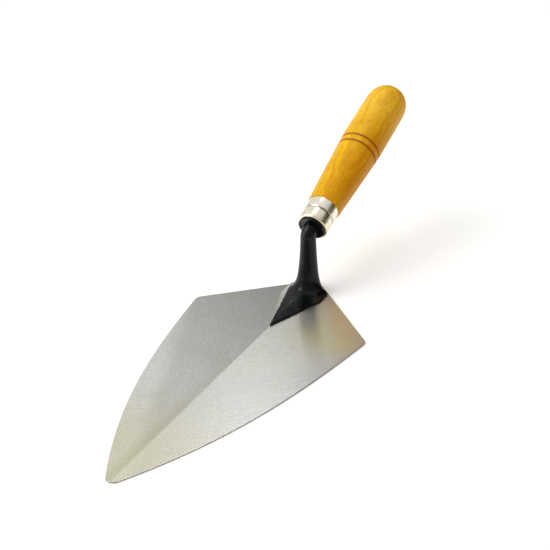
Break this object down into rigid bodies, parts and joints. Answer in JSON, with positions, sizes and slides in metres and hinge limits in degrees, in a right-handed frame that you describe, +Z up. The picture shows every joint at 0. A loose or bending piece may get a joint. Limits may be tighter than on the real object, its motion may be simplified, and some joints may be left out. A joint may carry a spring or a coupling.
{
  "type": "brick trowel",
  "caption": "Brick trowel: kite-shaped ground steel blade with swept heel, black cranked shank, plated ferrule and turned wooden handle with two scored rings.",
  "frame": {"origin": "middle of the footprint, on the plane of the blade's flat sole", "axes": "+X runs from the butt of the handle to the blade's point, +Y to the trowel's left, +Z up from the sole"},
  "size_m": [0.374, 0.1278, 0.1087],
  "materials": {
    "blade_steel": "ground and satin polished along the blade, lightly lacquered",
    "black_enamel": "glossy black enamel over forged steel",
    "washer_enamel": "glossy black enamel",
    "ferrule_plating": "bright nickel-chrome plating, slightly warm",
    "handle_wood": "amber varnish, gloss, over pale fine-grained hardwood"
  },
  "bodies": {
    "root": {"blade": "blade_steel", "shank": "black_enamel", "washer": "washer_enamel", "ferrule": "ferrule_plating", "handle": "handle_wood"}
  },
  "joints": []
}
